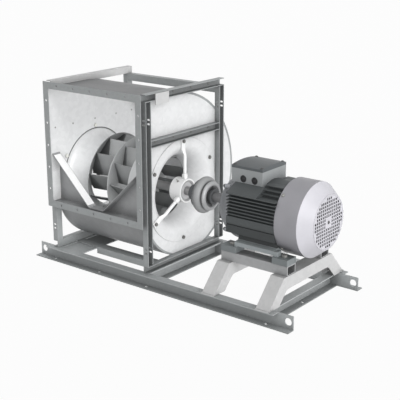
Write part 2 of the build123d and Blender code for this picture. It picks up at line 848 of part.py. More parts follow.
def motor_foot():
    # Cast foot of one flank: two pads joined by a raised bar and a sloping web
    middle = foot_hole_pitch_y / 2
    inner = middle - foot_width / 2
    outer = middle + foot_width / 2
    pad_top = foot_level + foot_thickness
    bar_bottom = foot_level + foot_bar_drop
    bar_top = bar_bottom + foot_bar_height
    first_inner_x = foot_hole_x[0] + foot_pad_past_hole
    second_inner_x = foot_hole_x[1] - foot_pad_past_hole
    web_start = first_inner_x - foot_bar_height / 2
    web_end = second_inner_x + foot_web_past_pad
    foot = block((foot_start_x, inner, foot_level), (first_inner_x, outer, pad_top))
    foot += block((second_inner_x, inner, foot_level), (foot_end_x, outer, pad_top))
    web = polygon((inner + fin_sheet, pad_top), (outer - 2 * fin_sheet, pad_top),
                  (outer - 2 * fin_sheet, bar_top - fin_sheet), (middle, bar_top),
                  (inner + foot_bar_height, bar_top + 2 * foot_bar_height),
                  (inner - foot_bar_height, bar_top + 2 * foot_bar_height))
    foot += slab(web, web_start, web_end)
    foot += block((web_end - cut_over, middle - fin_sheet, pad_top - cut_over),
                  (second_inner_x + foot_bar_height, outer - 2 * fin_sheet, bar_top - fin_sheet))
    foot -= block((first_inner_x, 0, foot_level - cut_over),
                  (second_inner_x, outer + cut_over, bar_bottom))
    for x in foot_hole_x:
        foot -= bar_along(Z, foot_hole_radius, foot_level - cut_over, pad_top + cut_over, (x, middle))
    return foot


def motor_housing():
    housing = bar_along(X, body_core_radius, body_start_x, body_end_x, shaft_line)
    for bank in (-1, 1):
        for fin in side_fins():
            housing += on_bank(fin, bank)
        housing += on_bank(terminal_shoulder(), bank)
        housing += on_bank(motor_foot(), bank)
    housing -= bar_along(X, body_bore_radius, body_start_x - cut_over, body_end_x + cut_over, shaft_line)
    return housing


def motor_shield_drive_end():
    # Bell-shaped end shield with its bearing seat
    rim = body_core_radius + 2 * fin_sheet
    bearing_end = drive_bearing_x + motor_bearing_width
    seat_wall = motor_bearing_outer_radius + body_wall
    bell_middle = ((motor_shoulder_x + body_start_x) / 2, (shield_boss_radius + rim) / 2 + body_wall)
    outer = (Polyline((motor_shoulder_x, motor_bore_radius), (motor_shoulder_x, shield_boss_radius))
             + ThreePointArc((motor_shoulder_x, shield_boss_radius), bell_middle,
                             (body_start_x - fin_pitch / 2, rim))
             + Polyline((body_start_x - fin_pitch / 2, rim), (body_start_x, rim),
                        (body_start_x, body_bore_radius), (body_start_x - body_wall, body_bore_radius),
                        (bearing_end + fin_sheet, seat_wall), (bearing_end, seat_wall),
                        (bearing_end, motor_bearing_outer_radius),
                        (drive_bearing_x, motor_bearing_outer_radius),
                        (drive_bearing_x, motor_bore_radius), (motor_shoulder_x, motor_bore_radius)))
    return turned(make_face(outer))


def motor_shield_tail_end():
    seat = cowl_radius - cowl_sheet
    bearing_end = body_end_x + motor_bearing_width
    back = bearing_end + 2 * fin_sheet
    profile = polygon((body_end_x, motor_bearing_outer_radius), (bearing_end, motor_bearing_outer_radius),
                      (bearing_end, motor_bore_radius), (back, motor_bore_radius),
                      (back, motor_bearing_outer_radius + fin_pitch),
                      (body_end_x + 3 * fin_sheet, body_core_radius),
                      (body_end_x + 3 * fin_sheet, seat), (body_end_x, seat))
    return turned(profile)


def motor_bearings():
    rings = []
    for start in (drive_bearing_x, body_end_x):
        rings.append(tube_along(X, motor_bearing_outer_radius, motor_bore_radius, start,
                                start + motor_bearing_width, shaft_line))
    return rings


def motor_stator_core():
    core = tube_along(X, body_bore_radius, stator_bore_radius, core_start_x, core_end_x, shaft_line)
    core += tube_along(X, body_bore_radius - fin_pitch / 2, stator_bore_radius + fin_pitch / 2,
                       core_start_x - winding_length, core_end_x + winding_length, shaft_line)
    return core


def motor_rotor_core():
    return tube_along(X, stator_bore_radius - fit_gap, rotor_shaft_radius, core_start_x,
                      core_end_x, shaft_line)


def motor_shaft():
    tail_journal_end = body_end_x + motor_bearing_width + 2 * fin_sheet
    shaft = bar_along(X, motor_shaft_radius, motor_shaft_tip_x, motor_shoulder_x, shaft_line)
    shaft += bar_along(X, motor_journal_radius, motor_shoulder_x, tail_journal_end, shaft_line)
    shaft += bar_along(X, rotor_shaft_radius, core_start_x - winding_length, core_end_x, shaft_line)
    shaft += bar_along(X, cooling_shaft_radius, tail_journal_end,
                       cooling_fan_x + cooling_fan_width, shaft_line)
    return shaft


def motor_cooling_fan():
    hub_radius = 2 * cooling_shaft_radius
    end = cooling_fan_x + cooling_fan_width
    wheel = bar_along(X, hub_radius, cooling_fan_x, end, shaft_line)
    wheel += bar_along(X, cooling_disc_radius, cooling_fan_x, cooling_fan_x + fin_sheet, shaft_line)
    for index in range(cooling_blade_count):
        blade = block((cooling_fan_x, -fin_sheet / 2, shaft_height + hub_radius - fin_sheet),
                      (end, fin_sheet / 2, shaft_height + cooling_fan_radius))
        wheel += around_shaft(blade, index * 360 / cooling_blade_count)
    return wheel - bar_along(X, cooling_shaft_radius, cooling_fan_x - cut_over, end + cut_over, shaft_line)


def cowl_shape(inset, start):
    # Solid inside the cowl's outer face, drawn in by inset
    radius = cowl_radius - inset
    tail = cowl_tail_x - inset
    rim = grille_radius + cowl_sheet - inset
    return turned(polygon((start, 0), (start, radius), (cowl_bevel_x, radius), (tail, rim), (tail, 0)))


def grille_holes():
    # Square holes on a square grid inside the grille's circle; around the middle one the sheet is whole
    reach = int(grille_radius // grille_pitch)
    half = grille_hole / 2
    blind = grille_centre_holes // 2
    cuts = []
    for row in range(-reach, reach + 1):
        for column in range(-reach, reach + 1):
            y = column * grille_pitch
            z = row * grille_pitch
            ring = max(abs(row), abs(column))
            inside = sqrt(y ** 2 + z ** 2) < grille_radius - grille_hole
            if inside and (ring == 0 or ring > blind):
                cuts.append(block((cowl_tail_x - cowl_sheet - cut_over, y - half, shaft_height + z - half),
                                  (cowl_tail_x + cut_over, y + half, shaft_height + z + half)))
    return cuts


def motor_cowl():
    cowl = cowl_shape(0, body_end_x) - cowl_shape(cowl_sheet, body_end_x - cut_over)
    return cowl - grille_holes()


def terminal_box_body():
    half = terminal_box_half
    box = block((terminal_box_start_x, -half, shaft_height + terminal_box_bottom_rise),
                (terminal_box_end_x, half, terminal_box_top))
    floor = shaft_height + body_core_radius + terminal_wall
    box -= block((terminal_box_start_x + terminal_wall, -half + terminal_wall, floor),
                 (terminal_box_end_x - terminal_wall, half - terminal_wall, terminal_box_top + cut_over))
    box -= bar_along(X, body_core_radius, body_start_x, terminal_box_end_x + cut_over, shaft_line)
    box -= bar_along(X, body_core_radius + 2 * fin_sheet, terminal_box_start_x - cut_over,
                     body_start_x, shaft_line)
    for x in entry_x:
        box -= bar_along(Y, entry_radius, -half - cut_over, -half + entry_plug_length, (x, entry_height))
    return box


def terminal_box_lid():
    half = terminal_box_half
    bottom = terminal_box_top
    side_top = bottom + terminal_lid_height - terminal_lid_crown
    crown = side_top + terminal_lid_crown
    arch = ThreePointArc((-half, side_top), (0, crown), (half, side_top))
    face = make_face(Polyline((half, side_top), (half, bottom), (-half, bottom), (-half, side_top)) + arch)
    lid = slab(face, terminal_box_start_x, terminal_box_end_x)
    return lid - block((terminal_box_start_x + terminal_wall, -half + terminal_wall, bottom - cut_over),
                       (terminal_box_end_x - terminal_wall, half - terminal_wall, side_top - terminal_wall))


def entry_plugs():
    plugs = []
    outer = -terminal_box_half
    for x in entry_x:
        centre = (x, entry_height)
        plug = bar_along(Y, entry_radius, outer, outer + entry_plug_length, centre)
        plug -= bar_along(Y, plug_recess_radius, outer - cut_over, outer + entry_plug_length / 2, centre)
        plugs.append(plug)
    return plugs


def foot_bolts():
    bolts = []
    pad_top = foot_level + foot_thickness
    nut_top = foot_level - motor_rail_wall
    for x in foot_hole_x:
        for bank in (-1, 1):
            centre = (x, foot_hole_pitch_y / 2)
            bolt = hexagon_along(Z, foot_bolt_head_radius, pad_top, pad_top + foot_bolt_head_height, centre)
            bolt += bar_along(Z, foot_bolt_radius, nut_top - foot_bolt_head_height, pad_top, centre)
            nut = hexagon_along(Z, foot_bolt_head_radius, nut_top - foot_bolt_head_height, nut_top, centre)
            nut -= bar_along(Z, foot_bolt_radius, nut_top - foot_bolt_head_height - cut_over,
                             nut_top + cut_over, centre)
            bolts += [on_bank(bolt, bank), on_bank(nut, bank)]
    return bolts


def build_base():
    save("base_rail_front", base_rail(-1))
    save("base_rail_rear", base_rail(1))
    save("base_cross_free_end", cross_member(-fan_cross_x, -1))
    save("base_cross_middle", cross_member(fan_cross_x, 1))
    save("base_cross_motor_end", tail_cross_member())
    save("base_deck_plate", deck_plate())
    save("base_inner_bars", inner_bar(-1), inner_bar(1))
    save("motor_support_fan_end", motor_support(fan_end_support_x))
    save("motor_support_tail_end", motor_support(tail_end_support_x))
    save("motor_rail_front", motor_rail(-1))
    save("motor_rail_rear", motor_rail(1))


def build_casing():
    for name, side in sides.items():
        save(f"frame_post_front_{name}", frame_post(side, -1))
        save(f"frame_post_rear_{name}", frame_post(side, 1))
        save(f"frame_beam_bottom_{name}", frame_beam(side, rail_height, frame_half_depth))
        save(f"frame_beam_middle_{name}", frame_beam(side, middle_beam_bottom, frame_half_depth - frame_web))
        save(f"frame_beam_top_{name}", frame_beam(side, frame_top - frame_web, frame_half_depth))
        save(f"side_plate_{name}", side_plate(side))
        save(f"inlet_cone_{name}", inlet_cone(side))
        save(f"bearing_spider_{name}", bearing_spider(side))
    save("frame_tie_rear", rear_tie())
    save("frame_joint_plate", joint_plate())
    save("scroll_wrap", scroll_wrap())
    save("cutoff_tongue", cutoff_tongue())
    save("outlet_flange", outlet_flange())
    save("bearing_cushions", bearing_cushion(-1), bearing_cushion(1))
    save("fan_bearing_outer_rings", fan_bearing_outer_ring(-1), fan_bearing_outer_ring(1))
    save("inlet_ring_fasteners", *ring_fasteners(-1), *ring_fasteners(1))


def build_rotor():
    for name, side in sides.items():
        save(f"impeller_blades_{name}", *impeller_blades(side))
        save(f"impeller_shroud_{name}", impeller_shroud(side))
    save("impeller_centre_disc", centre_disc())
    save("fan_shaft", fan_shaft())
    save("shaft_keys", key_block(impeller_key_start, 0), coupling_key())
    save("fan_bearing_inner_rings", fan_bearing_inner_ring(-1), fan_bearing_inner_ring(1))
    save("coupling_hub_fan_side", coupling_hub_fan_side())
    save("coupling_tyre", coupling_tyre())
    save("coupling_hub_motor_side", coupling_hub_motor_side())


def build_motor():
    save("motor_housing", motor_housing())
    save("motor_shield_drive_end", motor_shield_drive_end())
    save("motor_shield_tail_end", motor_shield_tail_end())
    save("motor_bearings", *motor_bearings())
    save("motor_stator_core", motor_stator_core())
    save("motor_rotor_core", motor_rotor_core())
    save("motor_shaft", motor_shaft())
    save("motor_cooling_fan", motor_cooling_fan())
    save("motor_cowl", motor_cowl())
    save("terminal_box_body", terminal_box_body())
    save("terminal_box_lid", terminal_box_lid())
    save("terminal_entry_plugs", *entry_plugs())
    save("motor_foot_bolts", *foot_bolts())


os.makedirs("parts", exist_ok=True)
build_base()
build_casing()
build_rotor()
build_motor()
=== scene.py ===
import json
import bmesh
import bpy
from math import cos, radians, sin, tau
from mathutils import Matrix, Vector


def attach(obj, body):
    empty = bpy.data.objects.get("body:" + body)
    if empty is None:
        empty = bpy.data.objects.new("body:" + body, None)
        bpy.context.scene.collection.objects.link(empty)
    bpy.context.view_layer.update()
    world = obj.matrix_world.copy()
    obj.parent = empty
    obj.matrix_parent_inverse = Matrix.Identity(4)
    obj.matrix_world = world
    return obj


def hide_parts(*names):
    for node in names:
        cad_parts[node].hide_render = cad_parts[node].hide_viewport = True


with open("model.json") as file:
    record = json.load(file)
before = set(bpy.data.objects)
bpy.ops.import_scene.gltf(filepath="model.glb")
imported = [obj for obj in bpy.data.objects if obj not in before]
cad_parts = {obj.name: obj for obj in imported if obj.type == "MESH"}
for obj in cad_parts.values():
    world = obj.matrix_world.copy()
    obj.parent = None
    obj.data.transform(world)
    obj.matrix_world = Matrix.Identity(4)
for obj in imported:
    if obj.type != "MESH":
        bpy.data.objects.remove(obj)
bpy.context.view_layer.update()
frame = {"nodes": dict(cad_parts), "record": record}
nodes = frame["nodes"]
print("frame loaded,", len(nodes), "nodes")

# The photo's viewpoint, in metres, degrees and millimetres of lens.
# An azimuth of 0 is in front of the outlet, and 90 is at the motor's end.
photoCamera = dict(place=(2.748, -3.046, 1.525), azimuth=38.10, elevation=17.01, lens=84.12, sensor=36)


def wayTo(azimuth, elevation):
    # from the fan towards a camera or a sun
    az, el = radians(azimuth), radians(elevation)
    return Vector((sin(az) * cos(el), -cos(az) * cos(el), sin(el)))


def placeCamera():
    data = bpy.data.cameras.new("camera")
    data.lens = photoCamera["lens"]
    data.sensor_width = photoCamera["sensor"]
    cam = bpy.data.objects.new("camera", data)
    look = -wayTo(photoCamera["azimuth"], photoCamera["elevation"])
    cam.location = photoCamera["place"]
    cam.rotation_euler = look.to_track_quat("-Z", "Y").to_euler()
    bpy.context.scene.collection.objects.link(cam)
    bpy.context.scene.camera = cam


placeCamera()


# Small helpers for shader nodes
def newMaterial(name):
    mat = bpy.data.materials.new(name)
    mat.use_nodes = True
    tree = mat.node_tree
    tree.nodes.clear()
    out = tree.nodes.new("ShaderNodeOutputMaterial")
    shader = tree.nodes.new("ShaderNodeBsdfPrincipled")
    tree.links.new(shader.outputs["BSDF"], out.inputs["Surface"])
    return mat, tree, shader, out


def placed(tree, stretch):
    coord = tree.nodes.new("ShaderNodeTexCoord")
    mapping = tree.nodes.new("ShaderNodeMapping")
    mapping.inputs["Scale"].default_value = stretch
    tree.links.new(coord.outputs["Object"], mapping.inputs["Vector"])
    return mapping.outputs["Vector"]


def noise(tree, scale, detail, stretch=(1, 1, 1)):
    tex = tree.nodes.new("ShaderNodeTexNoise")
    tex.inputs["Scale"].default_value = scale
    tex.inputs["Detail"].default_value = detail
    tree.links.new(placed(tree, stretch), tex.inputs["Vector"])
    return tex.outputs["Fac"]


def spangle(tree, scale):
    # zinc crystals: one grey per cell
    tex = tree.nodes.new("ShaderNodeTexVoronoi")
    tex.inputs["Scale"].default_value = scale
    tree.links.new(placed(tree, (1, 1, 1)), tex.inputs["Vector"])
    grey = tree.nodes.new("ShaderNodeRGBToBW")
    tree.links.new(tex.outputs["Color"], grey.inputs["Color"])
    return grey.outputs["Val"]


def toolRings(tree, scale):
    # turning marks across the shaft line
    tex = tree.nodes.new("ShaderNodeTexWave")
    tex.wave_type = "BANDS"
    tex.bands_direction = "X"
    tex.inputs["Scale"].default_value = scale
    tex.inputs["Distortion"].default_value = 0.4
    tree.links.new(placed(tree, (1, 1, 1)), tex.inputs["Vector"])
    return tex.outputs["Fac"]


def spread(tree, value, low, high, start=0.3, end=0.7):
    # low where the value is start or less, high where it is end or more
    ranger = tree.nodes.new("ShaderNodeMapRange")
    ranger.inputs["From Min"].default_value = start
    ranger.inputs["From Max"].default_value = end
    ranger.inputs["To Min"].default_value = low
    ranger.inputs["To Max"].default_value = high
    tree.links.new(value, ranger.inputs["Value"])
    return ranger.outputs["Result"]


def reckon(tree, operation, first, second):
    # one step of arithmetic; second may be a plain number
    step = tree.nodes.new("ShaderNodeMath")
    step.operation = operation
    tree.links.new(first, step.inputs[0])
    if isinstance(second, float):
        step.inputs[1].default_value = second
    else:
        tree.links.new(second, step.inputs[1])
    return step.outputs[0]


def colourMixer(tree, blend):
    # its share, its two colours and its result
    mix = tree.nodes.new("ShaderNodeMix")
    mix.data_type = "RGBA"
    mix.blend_type = blend
    first, second = [s for s in mix.inputs if s.type == "RGBA"]
    return mix.inputs["Factor"], first, second, next(s for s in mix.outputs if s.type == "RGBA")


def tint(tree, value, dark, light):
    # dark where the value is 0, light where it is 1; each is a colour or another node's result
    share, first, second, result = colourMixer(tree, "MIX")
    for socket, color in ((first, dark), (second, light)):
        if isinstance(color, tuple):
            socket.default_value = (*color, 1)
        else:
            tree.links.new(color, socket)
    tree.links.new(value, share)
    return result


def roundedNormal(tree, radius):
    rounder = tree.nodes.new("ShaderNodeBevel")
    rounder.samples = 4
    rounder.inputs["Radius"].default_value = radius
    return rounder.outputs["Normal"]


def edgeMask(tree, rounded):
    # 1 on sharp edges, where zinc and paint are rubbed
    flat = tree.nodes.new("ShaderNodeNewGeometry")
    dot = tree.nodes.new("ShaderNodeVectorMath")
    dot.operation = "DOT_PRODUCT"
    tree.links.new(rounded, dot.inputs[0])
    tree.links.new(flat.outputs["Normal"], dot.inputs[1])
    return spread(tree, dot.outputs["Value"], 1, 0, 0.80, 0.99)


def paintedHollowShade(tree, colour, depth, dark):
    # painted shade in the hollows of channels, between fins and in corners, darker where ambient occlusion
    # finds them closed in
    hollow = tree.nodes.new("ShaderNodeAmbientOcclusion")
    hollow.samples = 6
    hollow.inputs["Distance"].default_value = depth
    share, first, second, result = colourMixer(tree, "MULTIPLY")
    share.default_value = 1
    tree.links.new(colour, first)
    tree.links.new(spread(tree, hollow.outputs["AO"], dark, 1, 0.35, 0.92), second)
    return result


def zoned(tree, colour, axis, start, end, factor):
    # repaints what lies past a plane across an axis; the change runs from start to end
    coord = tree.nodes.new("ShaderNodeTexCoord")
    split = tree.nodes.new("ShaderNodeSeparateXYZ")
    share, first, second, result = colourMixer(tree, "MULTIPLY")
    second.default_value = (factor, factor, factor, 1)
    tree.links.new(coord.outputs["Object"], split.inputs[0])
    tree.links.new(spread(tree, split.outputs[axis], 0, 1, start, end), share)
    tree.links.new(colour, first)
    return result


def bumpFrom(tree, value, shader, strength, distance, rounded):
    bump = tree.nodes.new("ShaderNodeBump")
    bump.inputs["Strength"].default_value = strength
    bump.inputs["Distance"].default_value = distance
    tree.links.new(value, bump.inputs["Height"])
    tree.links.new(rounded, bump.inputs["Normal"])
    tree.links.new(bump.outputs["Normal"], shader.inputs["Normal"])


def shade(color, factor):
    return tuple(min(1.0, c * factor) for c in color)


# One row per finish. size is how fine its grain is, wear how rubbed its edges are, and hollow how
# dark the painted shade inside a channel or corner gets. zones repaint a stretch: axis, start and end in
# metres, factor.
finishes = {
    "frameZinc": dict(kind="sheet", color=(0.37, 0.385, 0.388), rough=0.50, metal=0.10, size=85,
                      wear=0.22, hollow=0.36,
                      zones=[("Z", 0.0612, 0.0605, 1.25)]),       # the base is paler than the frame
    "casingZinc": dict(kind="sheet", color=(0.78, 0.785, 0.79), rough=0.45, metal=0.05, size=60,
                       wear=0.12, hollow=0.5),
    "wrapZinc": dict(kind="sheet", color=(0.37, 0.375, 0.38), rough=0.45, metal=0.10, size=60,
                     wear=0.2, hollow=0.4,
                     zones=[("Z", 0.5, 0.78, 0.52)]),             # darker towards the top: painted shade on the top sheet
    "supportZinc": dict(kind="sheet", color=(0.6, 0.6, 0.6), rough=0.46, metal=0.10, size=70,
                        wear=0.2, hollow=0.3),
    "railZinc": dict(kind="sheet", color=(0.43, 0.435, 0.44), rough=0.46, metal=0.10, size=70,
                     wear=0.2, hollow=0.3),
    "spiderPaint": dict(kind="paint", color=(0.93, 0.93, 0.93), rough=0.40, metal=0.0, size=500,
                        wear=0.1, hollow=0.6),
    "wheelSteel": dict(kind="paint", color=(0.35, 0.358, 0.36), rough=0.48, metal=0.10, size=380,
                       wear=0.2, hollow=0.42),
    "turnedSteel": dict(kind="turned", color=(0.55, 0.55, 0.55), rough=0.30, metal=0.7, size=160,
                        wear=0.1, hollow=0.4),
    "shaftSteel": dict(kind="turned", color=(0.22, 0.22, 0.225), rough=0.38, metal=0.3, size=150,
                       wear=0.1, hollow=0.4),
    "bearingSteel": dict(kind="turned", color=(0.68, 0.68, 0.69), rough=0.28, metal=0.3, size=220,
                         wear=0.1, hollow=0.6),
    "coreSteel": dict(kind="turned", color=(0.20, 0.18, 0.16), rough=0.5, metal=0.6, size=420,
                      wear=0.1, hollow=0.3),
    "zincBolt": dict(kind="paint", color=(0.36, 0.36, 0.345), rough=0.42, metal=0.25, size=700,
                     wear=0.2, hollow=0.5),
    "ringBolt": dict(kind="paint", color=(0.17, 0.17, 0.16), rough=0.45, metal=0.05, size=700,
                     wear=0.2, hollow=0.6,                        # dark heads, bright ends inside the casing
                     zones=[("X", 0.262, 0.259, 4.6), ("X", -0.259, -0.262, 0.217)]),
    "darkScrew": dict(kind="paint", color=(0.10, 0.10, 0.10), rough=0.45, metal=0.2, size=700,
                      wear=0.2, hollow=0.5),
    "rubber": dict(kind="cast", color=(0.075, 0.078, 0.08), rough=0.62, metal=0.0, size=900,
                   wear=0.05, hollow=0.5),
    "cushionRubber": dict(kind="cast", color=(0.42, 0.425, 0.43), rough=0.6, metal=0.0, size=800,
                          wear=0.05, hollow=0.5),
    "tyreRubber": dict(kind="cast", color=(0.32, 0.325, 0.328), rough=0.42, metal=0.0, size=800,
                       wear=0.1, hollow=0.3),
    "couplingIron": dict(kind="cast", color=(0.12, 0.125, 0.13), rough=0.48, metal=0.1, size=420,
                         wear=0.25, hollow=0.3),
    "clampIron": dict(kind="turned", color=(0.42, 0.425, 0.43), rough=0.42, metal=0.1, size=190,
                      wear=0.2, hollow=0.25),
    "motorPaint": dict(kind="cast", color=(0.092, 0.10, 0.102), rough=0.45, metal=0.0, size=300,
                       wear=0.35, hollow=0.5,                     # dark flanks, a pale web above the feet, and painted shade on the feet below it
                       zones=[("Z", 0.335, 0.325, 0.62), ("Z", 0.2628, 0.262, 6.2),
                              ("Z", 0.2368, 0.2362, 0.62)]),
    "shieldPaint": dict(kind="cast", color=(0.37, 0.38, 0.40), rough=0.42, metal=0.0, size=300,
                        wear=0.2, hollow=0.3),
    "cowlPaint": dict(kind="paint", color=(0.38, 0.375, 0.40), rough=0.40, metal=0.0, size=420,
                      wear=0.2, hollow=0.3,
                      zones=[("X", 0.947, 0.949, 1.7)]),          # painted highlight: the bevel and the grille made paler where they catch the light
    "boxPaint": dict(kind="cast", color=(0.35, 0.365, 0.37), rough=0.45, metal=0.0, size=320,
                     wear=0.3, hollow=0.3),
    "lidPaint": dict(kind="cast", color=(0.11, 0.12, 0.125), rough=0.42, metal=0.0, size=320,
                     wear=0.3, hollow=0.3),
    "moulding": dict(kind="cast", color=(0.035, 0.035, 0.037), rough=0.5, metal=0.0, size=600,
                     wear=0.1, hollow=0.4),
    # near white: a painted highlight on the cut-off's strips
    "paintedHighlightStrip": dict(kind="paint", color=(0.93, 0.93, 0.93), rough=0.35, metal=0.0, size=600,
                       wear=0.05, hollow=0.9),
}
# How far each kind's colour drifts to dark and light, and the relief of its grain (depth in metres)
kinds = {
    "sheet": dict(dark=0.97, light=1.03, relief=0.08, depth=0.0004),
    "turned": dict(dark=0.90, light=1.06, relief=0.20, depth=0.0002),
    "cast": dict(dark=0.92, light=1.07, relief=0.35, depth=0.0005),
    "paint": dict(dark=0.92, light=1.07, relief=0.15, depth=0.0005),
}
# What every finish shares: the scales of its patterns, two lengths in metres, and how strong each effect is
surface = dict(clouds=7.0, streaks=26.0, sheetGrain=160.0, rubbed=90.0, edgeRadius=0.0012, hollowDepth=0.06,
               streakShade=0.86, streakShare=0.15, paleEdge=1.25, darkEdge=1.9, smoother=0.06, rougher=0.08,
               specular=0.3)


def grainOf(tree, row, cloud):
    # what the colour drifts with, and the heights of the relief
    if row["kind"] == "sheet":
        flakes = spread(tree, spangle(tree, row["size"]), 0, 1, 0.2, 0.8)
        return flakes, noise(tree, surface["sheetGrain"], 3.0)
    drift = spread(tree, cloud, 0, 1)
    if row["kind"] == "turned":
        return drift, toolRings(tree, row["size"])
    return drift, noise(tree, row["size"], 3.0)


def rollStreaks(tree, colour, row):
    # long soft streaks that the rolling mill leaves in sheet
    streaks = spread(tree, noise(tree, surface["streaks"], 3.0, (0.25, 1, 1)), 0, surface["streakShare"])
    return tint(tree, streaks, colour, shade(row["color"], surface["streakShade"]))


def rubEdges(tree, colour, row, rounded):
    # brighter in patches along the edges
    patches = spread(tree, noise(tree, surface["rubbed"], 4.0), 0, row["wear"] * 2, 0.35, 0.65)
    brighter = surface["paleEdge"] if row["color"][0] > 0.3 else surface["darkEdge"]
    worn = reckon(tree, "MULTIPLY", edgeMask(tree, rounded), patches)
    return tint(tree, worn, colour, shade(row["color"], brighter))


def makeFinish(name):
    row = finishes[name]
    kind = kinds[row["kind"]]
    mat, tree, shader, _ = newMaterial(name)
    cloud = noise(tree, surface["clouds"], 5.0)
    rounded = roundedNormal(tree, surface["edgeRadius"])
    drift, relief = grainOf(tree, row, cloud)
    colour = tint(tree, drift, shade(row["color"], kind["dark"]), shade(row["color"], kind["light"]))
    if row["kind"] == "sheet":
        colour = rollStreaks(tree, colour, row)
    colour = rubEdges(tree, colour, row, rounded)
    for zone in row.get("zones", []):
        colour = zoned(tree, colour, *zone)
    # painted shade in hollows, channels and corners
    colour = paintedHollowShade(tree, colour, surface["hollowDepth"], row["hollow"])
    rough = spread(tree, cloud, row["rough"] - surface["smoother"], row["rough"] + surface["rougher"])
    tree.links.new(colour, shader.inputs["Base Color"])
    tree.links.new(rough, shader.inputs["Roughness"])
    shader.inputs["Metallic"].default_value = row["metal"]
    shader.inputs["Specular IOR Level"].default_value = surface["specular"]
    bumpFrom(tree, relief, shader, kind["relief"], kind["depth"], rounded)
    return mat


finishMade = {name: makeFinish(name) for name in finishes}

slotFinish = {
    "galvanised_sheet": "frameZinc", "casing_sheet": "casingZinc", "support_sheet": "supportZinc",
    "spider_paint": "spiderPaint", "rotor_steel": "wheelSteel", "bright_steel": "turnedSteel",
    "zinc_fasteners": "zincBolt", "bearing_steel": "bearingSteel", "black_rubber": "rubber",
    "coupling_iron": "couplingIron", "motor_paint": "motorPaint", "shield_paint": "shieldPaint",
    "cowl_paint": "cowlPaint", "terminal_paint": "boxPaint", "core_steel": "coreSteel",
    "moulded_plastic": "moulding",
}
# Nodes that look unlike the rest of their slot
nodeFinish = {
    "scroll_wrap": "wrapZinc", "cutoff_tongue": "wrapZinc", "outlet_flange": "frameZinc",
    "terminal_box_lid": "lidPaint", "motor_shaft": "shaftSteel", "bearing_cushions": "cushionRubber",
    "coupling_tyre": "tyreRubber", "inlet_ring_fasteners": "ringBolt", "motor_rail_front": "railZinc",
    # the joint plate and the free side's top beam take paler zinc: painted light on their faces turned to
    # the key light
    "motor_rail_rear": "railZinc", "frame_joint_plate": "supportZinc",
    "frame_beam_top_free_side": "supportZinc",
}

for part in frame["record"]["subparts"]:
    mesh = nodes[part["node"]].data
    finish = nodeFinish.get(part["node"], slotFinish[part["material_slot"]])
    mesh.materials.clear()
    mesh.materials.append(finishMade[finish])
print("finishes on every node")

# The detail pieces' places and sizes are in millimetres, and their angles in degrees.
mm = 0.001
shaftHeight = 370
fanSides = {"free_side": -1, "drive_side": 1}
sidePlate = dict(middle=260, half=1.5)      # the casing's side plates: their middle plane, half their sheet

# The small heads: outlines as shares of their radius and height, and how many sides each is made with.
# A pan head is domed and has a round recess for the driver.
heads = dict(hexagon=[(0, 0), (1, 0), (1, 0.82), (0.86, 1), (0, 1)],
             pan=[(0, 0), (1, 0), (1, 0.4), (0.84, 0.85), (0.5, 1), (0.34, 1), (0.3, 0.5), (0, 0.45)],
             panSides=20, washerSides=24, washerBore=2)


def along(sign):
    # the shaft's way: 1 towards the motor, -1 towards the fan's free end
    return Vector((sign, 0, 0))


def outFrom(angle):
    # the way straight out from the shaft: 0 points to the back, 90 up
    return Vector((0, cos(radians(angle)), sin(radians(angle))))


def onCircle(x, angle, radius):
    # a point round the shaft line
    return Vector((x, radius * cos(radians(angle)), shaftHeight + radius * sin(radians(angle))))


def seat(node, start, way):
    # where a line from start meets a node's surface
    hit, place, _, _ = nodes[node].ray_cast(Vector(start) * mm, Vector(way))
    return place / mm if hit else Vector(start)


def skin(mesh, rings, closed):
    # faces between rings of points; a ring of one point is a tip
    pairs = list(zip(rings, rings[1:])) + ([(rings[-1], rings[0])] if closed else [])
    for low, high in pairs:
        count = max(len(low), len(high))
        for i in range(count):
            j = (i + 1) % count
            corners = [low[i % len(low)], low[j % len(low)], high[j % len(high)], high[i % len(high)]]
            corners = list(dict.fromkeys(corners))
            if len(corners) > 2:
                mesh.faces.new(corners)


def turned(mesh, outline, place, way, sides, closed=False):
    # outline: (radius, height) points, turned about an axis through place along way
    turn = Vector(way).to_track_quat("Z", "Y").to_matrix()
    rings = []
    for radius, height in outline:
        steps = sides if radius else 1
        angles = [tau * i / steps for i in range(steps)]
        spots = [Vector(place) + turn @ Vector((radius * cos(a), radius * sin(a), height)) for a in angles]
        rings.append([mesh.verts.new(spot * mm) for spot in spots])
    skin(mesh, rings, closed)


def swept(mesh, stations):
    # stations: the section's points at each place along a strip; the ends are closed
    rings = [[mesh.verts.new(Vector(spot) * mm) for spot in station] for station in stations]
    skin(mesh, rings, False)
    mesh.faces.new(rings[0])
    mesh.faces.new(rings[-1])


def hexHead(mesh, place, way, radius, height):
    turned(mesh, [(radius * r, height * h) for r, h in heads["hexagon"]], place, way, 6)


def panHead(mesh, place, way, radius, height):
    turned(mesh, [(radius * r, height * h) for r, h in heads["pan"]], place, way, heads["panSides"])


def washer(mesh, place, way, radius, height):
    bore = heads["washerBore"]
    outline = [(bore, 0), (radius, 0), (radius, height), (bore, height)]
    turned(mesh, outline, place, way, heads["washerSides"], True)


def makePiece(name, mesh, finish, body, smooth=False):
    bmesh.ops.recalc_face_normals(mesh, faces=mesh.faces[:])
    data = bpy.data.meshes.new(name)
    mesh.to_mesh(data)
    mesh.free()
    for face in data.polygons:
        face.use_smooth = smooth
    data.materials.append(finishMade[finish])
    piece = bpy.data.objects.new(name, data)
    bpy.context.scene.collection.objects.link(piece)
    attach(piece, body)
    return piece


def onBothSides(*makers):
    for side, sign in fanSides.items():
        for maker in makers:
            maker(side, sign)


# Nuts of the screws through the side plates, seen inside the casing: places across and up
plateNuts = dict(places=[(-251, 620.8), (-142, 620.8), (0, 620.8), (142, 620.8), (251, 620.8), (38, 736)],
                 radius=3.4, height=2.2)


